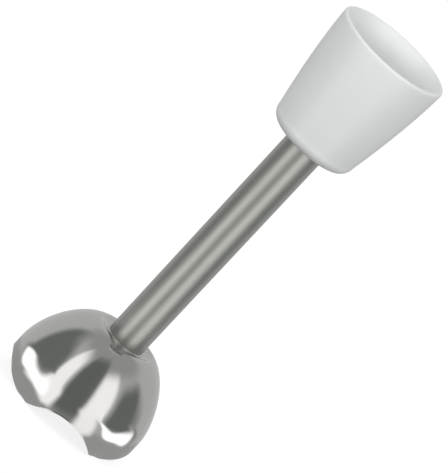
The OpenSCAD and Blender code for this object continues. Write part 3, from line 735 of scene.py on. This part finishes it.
def turned_steel(name, colour, roughness):
    material, tree = new_material(name)
    place = add(tree, "ShaderNodeTexCoord")
    # Turning leaves rings 0.1 mm apart along the axis
    rings = add(tree, "ShaderNodeMapping", {"Vector": place.outputs["Object"],
                                            "Scale": (300, 300, 9000)})
    grain = add(tree, "ShaderNodeTexNoise", {"Vector": rings.outputs[0], "Scale": 1.0,
                                             "Detail": 2.0})
    rough = add(tree, "ShaderNodeMapRange", {"Value": grain.outputs["Fac"],
                                             "To Min": roughness - 0.06,
                                             "To Max": roughness + 0.08})
    bump = add(tree, "ShaderNodeBump", {"Height": grain.outputs["Fac"], "Strength": 0.2,
                                        "Distance": 0.02 * MM})
    steel = add(tree, "ShaderNodeBsdfPrincipled", {
        "Base Color": linear(colour), "Metallic": 1.0, "Roughness": rough.outputs[0],
        "Normal": bump.outputs[0]})
    finish_material(tree, steel.outputs[0])
    return material


bright_steel = turned_steel("turned stainless steel", "B9B9B5", 0.26)
screw_top_z = SCREW_SEAT_Z + SCREW_HEAD_H
screw = lathe("tower_screw_set", [(0, SCREW_LOW_Z), (SCREW_R, SCREW_LOW_Z), (SCREW_R, SCREW_SEAT_Z),
                                  (SCREW_HEAD_R, SCREW_SEAT_Z)]
              + arc((SCREW_HEAD_R - SCREW_HEAD_ROUND, screw_top_z - SCREW_HEAD_ROUND),
                    SCREW_HEAD_ROUND, 0, 90, 6) + [(0, screw_top_z)], bright_steel, 48)
cross = [(CROSS_HALF_L, -CROSS_HALF_W), (CROSS_HALF_L, CROSS_HALF_W),
         (CROSS_HALF_W, CROSS_HALF_W)]
cross = [(x * turn_x - y * turn_y, x * turn_y + y * turn_x)
         for turn_x, turn_y in ((1, 0), (0, 1), (-1, 0), (0, -1)) for x, y in cross]
punch = mesh_piece("punch", [(x * MM, y * MM, z * MM)
                             for z in (screw_top_z - CROSS_DEPTH, screw_top_z + 1)
                             for x, y in cross],
                   [tuple(range(11, -1, -1)), tuple(range(12, 24))]
                   + [(i, (i + 1) % 12, 12 + (i + 1) % 12, 12 + i) for i in range(12)],
                   bright_steel)
bake(screw, [("BOOLEAN", {"operation": "DIFFERENCE", "object": punch}),
             ("BEVEL", {"width": 0.06 * MM, "segments": 2, "limit_method": "ANGLE",
                        "angle_limit": radians(EDGE_ANGLE)})])
bpy.data.objects.remove(punch)
made_by_rule(screw, around_axis, SCREWS)
screw.data.materials.clear()
screw.data.materials.append(bright_steel)
sharpen(screw)
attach(screw, "casing")
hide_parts("tower_screws")

# Tube flange
# Washer pressed from stainless sheet and welded to the tube's head, which the tower
# clamps to the cup's floor. Only its edge shows.
flange = finished("tube_flange_washer", "tube_flange", ground_steel, 0.15)
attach(flange, "casing")
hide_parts("tube_flange")

# Bushes
# Flanged bearings of oil-filled sintered bronze, pressed into the tower and the
# housing. Their surface is matt and full of fine pores.


def sintered_bronze(name, colour):
    material, tree = new_material(name)
    place = add(tree, "ShaderNodeTexCoord")
    # Grains of the pressed powder are about 0.15 mm across
    grains = add(tree, "ShaderNodeTexVoronoi", {"Vector": place.outputs["Object"],
                                                "Scale": 6500.0})
    oil = add(tree, "ShaderNodeTexNoise", {"Vector": place.outputs["Object"],
                                           "Scale": 260.0, "Detail": 3.0})
    tone = add(tree, "ShaderNodeMix", {"Factor": oil.outputs["Fac"],
                                       6: [c * 0.75 for c in linear(colour)[:3]] + [1],
                                       7: linear(colour)}, data_type="RGBA")
    rough = add(tree, "ShaderNodeMapRange", {"Value": oil.outputs["Fac"], "To Min": 0.3,
                                             "To Max": 0.55})
    bump = add(tree, "ShaderNodeBump", {"Height": grains.outputs["Distance"],
                                        "Strength": 0.5, "Distance": 0.04 * MM})
    bronze = add(tree, "ShaderNodeBsdfPrincipled", {
        "Base Color": tone.outputs[2], "Metallic": 1.0, "Roughness": rough.outputs[0],
        "Normal": bump.outputs[0]})
    finish_material(tree, bronze.outputs[0])
    return material


bronze = sintered_bronze("oil-filled sintered bronze", "A9824F")
for node in ("upper_bush", "lower_bush"):
    bush = finished(node + "_sintered", node, bronze, 0.12)
    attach(bush, "casing")
    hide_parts(node)

# Bearing housing
# Glass-filled nylon carrier that closes the bell's hole from inside. It holds the
# lower bush and the seal, and is dark grey with a dull, slightly cloudy skin.
nylon_dark = moulded_plastic("matt glass-filled nylon", "3A3C3E", 0.5, 0.35)
housing = finished("bearing_housing_moulding", "bearing_housing", nylon_dark, 0.25)
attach(housing, "casing")
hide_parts("bearing_housing")

# Seal, its cap and the O-rings
# Matt black nitrile rubber; the cap is a thin polished ring pressed over the seal.


def rubber(name, colour):
    material, tree = new_material(name)
    place = add(tree, "ShaderNodeTexCoord")
    # The moulded skin has a fine grain and pale dust in patches some millimetres wide
    skin = add(tree, "ShaderNodeTexNoise", {"Vector": place.outputs["Object"],
                                            "Scale": 2500.0, "Detail": 2.0})
    dust = add(tree, "ShaderNodeTexNoise", {"Vector": place.outputs["Object"],
                                            "Scale": 220.0, "Detail": 4.0})
    tone = add(tree, "ShaderNodeMix", {"Factor": dust.outputs["Fac"], 6: linear(colour),
                                       7: [c * 1.6 for c in linear(colour)[:3]] + [1]},
               data_type="RGBA")
    rough = add(tree, "ShaderNodeMapRange", {"Value": dust.outputs["Fac"], "To Min": 0.55,
                                             "To Max": 0.8})
    bump = add(tree, "ShaderNodeBump", {"Height": skin.outputs["Fac"], "Strength": 0.2,
                                        "Distance": 0.03 * MM})
    soft = add(tree, "ShaderNodeBsdfPrincipled", {
        "Base Color": tone.outputs[2], "Roughness": rough.outputs[0],
        "Normal": bump.outputs[0]})
    finish_material(tree, soft.outputs[0])
    return material


def dress(finish, *names):
    for node in names:
        nodes[node].material_slots[0].material = finish


black_rubber = rubber("black nitrile rubber", "232323")
dress(black_rubber, "shaft_seal", "collar_o_ring", "housing_o_ring")
cap = finished("seal_cap_ring", "seal_cap", mirror_steel, 0.12)
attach(cap, "casing")
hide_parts("seal_cap")

# Liner and thrust washers
# Slippery white acetal, smooth from the mould: the pipe between the two bearings and
# the washers that the turning parts run against.
acetal = moulded_plastic("smooth white acetal", "E4E3DE", 0.34, 0.2)
dress(acetal, "liner_tube", "upper_thrust_washer", "lower_thrust_washer")

# Drive coupling
# Female half of the coupling, moulded in dark acetal: six notches of the star socket
# take the motor's teeth, a lead-in guides them and flutes lighten the head.
acetal_dark = moulded_plastic("satin dark acetal", "3A3C3E", 0.4, 0.25)
coupling = finished("drive_coupling_star", "drive_coupling", acetal_dark, 0.15)
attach(coupling, "rotor")
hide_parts("drive_coupling")

# Drive shaft, pin and circlip
# Ground stainless rod with a groove for the spring clip and a hole for the pin that
# turns the coupling.
shaft = finished("drive_shaft_rod", "drive_shaft", bright_steel, 0.1)
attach(shaft, "rotor")
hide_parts("drive_shaft")
dress(bright_steel, "coupling_pin", "shaft_circlip")

# Blade
# One cross stamped from hardened sheet: one pair of wings is bent up, the other
# down, and each leading side is ground from above to an edge.
BLADE_Z = 13.4
BLADE_T = 1.2
BLADE_R = 22.0
BLADE_CENTRE_R = 6.7
SHAFT_R = 2.5
WING_ROOT = BLADE_CENTRE_R - 1.1
WING_HALF_W = 4.0
WING_HEEL = 0.6
WING_UP = radians(22)
WING_DOWN = radians(-14)
WING_TIP_ROUND = 2.2
WING_TIP_ASIDE = 0.44
BEVEL_W = 2.0
BEVEL_ANGLE = radians(24)
BEVEL_START = 2.2
BEVEL_RUN = 1.5
WING_PAIR = {"Count": 2.0, "Pitch Radius": 0.0, "First Angle": 0.0}


def wing(name, bend):
    reach = (BLADE_R - WING_ROOT) / cos(bend)
    outline = [(-WING_HEEL, -WING_HALF_W), (BEVEL_START, -WING_HALF_W),
               (BEVEL_START + BEVEL_RUN, -WING_HALF_W), (reach * 0.45, -WING_HALF_W)]
    outline += arc((reach - WING_TIP_ROUND, -WING_TIP_ASIDE), WING_TIP_ROUND, -70, 60, 12)
    outline += [(reach * 0.4, WING_HALF_W), (-WING_HEEL, WING_HALF_W)]
    inner = BEVEL_W - WING_HALF_W
    loops = [[], [], []]
    for x, y in outline:
        ground = min(1, max(0, (x - BEVEL_START) / BEVEL_RUN)) * max(0, inner - y)
        loops[0].append((x, y, 0))
        loops[1].append((x, y, BLADE_T - ground * tan(BEVEL_ANGLE)))
        loops[2].append((x, y + ground, BLADE_T))
    points = [((WING_ROOT + x * cos(bend) - z * sin(bend)) * MM, y * MM,
               (BLADE_Z + x * sin(bend) + z * cos(bend)) * MM) for loop in loops
              for x, y, z in loop]
    n = len(outline)
    faces = [(k * n + i, k * n + (i + 1) % n, (k + 1) * n + (i + 1) % n, (k + 1) * n + i)
             for k in range(2) for i in range(n)]
    faces += [tuple(range(n - 1, -1, -1)), tuple(range(2 * n, 3 * n))]
    return mesh_piece(name, points, faces, mirror_steel)


blade = lathe("blade_cross", [(SHAFT_R, BLADE_Z), (BLADE_CENTRE_R, BLADE_Z),
                              (BLADE_CENTRE_R, BLADE_Z + BLADE_T), (SHAFT_R, BLADE_Z + BLADE_T)],
              mirror_steel, 96)
for bend, first in ((WING_UP, 0), (WING_DOWN, pi / 2)):
    pair = made_by_rule(wing("wings", bend), around_axis, WING_PAIR | {"First Angle": first}, [
        ("WELD", {"merge_threshold": 0.001 * MM}),
        ("BEVEL", {"width": 0.1 * MM, "segments": 2, "limit_method": "ANGLE",
                   "angle_limit": radians(EDGE_ANGLE)})])
    join(blade, pair)
blade.data.materials.clear()
blade.data.materials.append(mirror_steel)
sharpen(blade)
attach(blade, "rotor")
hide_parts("blade")

# Blade hub and nut
# Turned stainless spacer above the blade and the hexagon nut that clamps the cross
# to the end of the shaft.
for name, node in (("blade_hub_spacer", "blade_hub"), ("blade_nut_hexagon", "blade_nut")):
    piece = finished(name, node, bright_steel, 0.15)
    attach(piece, "rotor")
    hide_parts(node)
